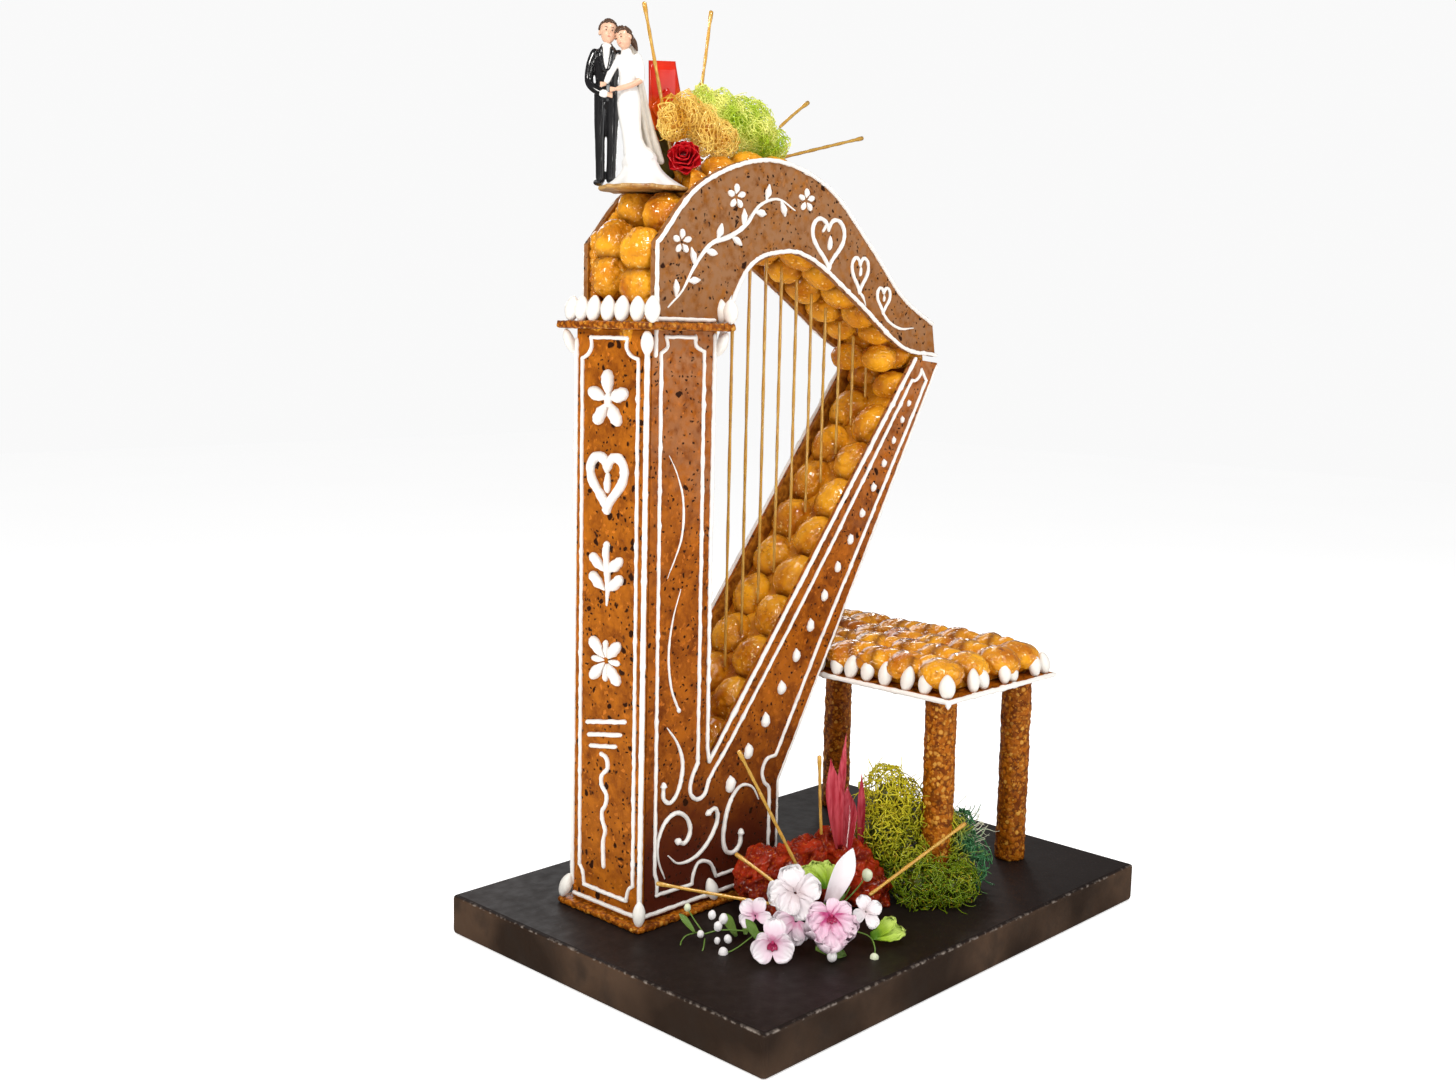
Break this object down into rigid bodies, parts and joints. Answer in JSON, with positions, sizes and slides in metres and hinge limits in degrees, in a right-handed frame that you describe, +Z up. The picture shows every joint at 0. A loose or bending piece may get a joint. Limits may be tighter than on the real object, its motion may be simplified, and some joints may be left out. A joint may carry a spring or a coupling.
{
  "type": "croquembouche",
  "caption": "Harp-shaped croquembouche of caramel puffs in nougatine panels with piped icing, a nougatine stool, sugar flowers and a wedding couple, on a dark board.",
  "frame": {"origin": "centre of the board's underside", "axes": "+Z up, +X from the harp's column towards its soundbox, -Y towards the side with the flowers"},
  "size_m": [0.6, 0.43, 0.9152],
  "materials": {
    "board": "satin near-black coated board, worn at its edges",
    "caramel_puff": "choux puff dipped in glossy caramel",
    "couple": "painted moulded figures",
    "gold_sugar": "pulled sugar rod with a gold lustre",
    "leaf": "dark green leaf",
    "leaf_fresh": "fresh light green leaf",
    "moss_sugar": "mossy green and brown sugar tangle",
    "nougatine": "baked caramel and almond sheet, satin with pits",
    "nougatine_chopped": "chopped almonds in caramel, satin and knobbly",
    "petal": "soft white and pink orchid petals",
    "pink_sugar": "glossy pink sugar blade",
    "red_sugar": "clear red pulled sugar",
    "rose": "velvety red petals",
    "spun_amber": "heap of fine amber sugar threads",
    "spun_green": "heap of fine yellow-green sugar threads"
  },
  "bodies": {
    "root": {"board": "board", "foot_plate": "nougatine_chopped", "column_front": "nougatine", "column_back": "nougatine", "side_near": "nougatine", "side_far": "nougatine", "soundbox_back": "nougatine", "capital_plate": "nougatine_chopped", "neck_near": "nougatine", "neck_far": "nougatine", "neck_puffs": "caramel_puff", "soundbox_puffs": "caramel_puff", "string_01": "gold_sugar", "string_02": "gold_sugar", "string_03": "gold_sugar", "string_04": "gold_sugar", "string_05": "gold_sugar", "string_06": "gold_sugar", "string_07": "gold_sugar", "string_08": "gold_sugar", "string_09": "gold_sugar", "string_10": "gold_sugar", "string_11": "gold_sugar", "stool_plate": "nougatine", "stool_leg_1": "nougatine_chopped", "stool_leg_2": "nougatine_chopped", "stool_leg_3": "nougatine_chopped", "stool_leg_4": "nougatine_chopped", "stool_puffs": "caramel_puff", "couple_wafer": "nougatine", "couple": "couple", "spun_sugar_amber": "spun_amber", "spun_sugar_green": "spun_green", "rose": "rose", "rose_leaf": "leaf", "sugar_sheet": "red_sugar", "top_stick_1": "gold_sugar", "top_stick_2": "gold_sugar", "top_stick_3": "gold_sugar", "top_stick_4": "gold_sugar", "moss_cloud": "moss_sugar", "sugar_rocks": "red_sugar", "sugar_blade_1": "pink_sugar", "sugar_blade_2": "pink_sugar", "sugar_blade_3": "pink_sugar", "flower_stick_1": "gold_sugar", "flower_stick_2": "gold_sugar", "flower_stick_3": "gold_sugar", "flower_stick_4": "gold_sugar", "flower_stick_5": "gold_sugar", "orchid_centre": "petal", "orchid_upper": "petal", "orchid_left": "petal", "orchid_middle": "petal", "orchid_right": "petal", "orchid_petal": "petal", "frilled_leaf": "leaf_fresh", "orchid_leaf": "leaf_fresh"}
  },
  "joints": []
}
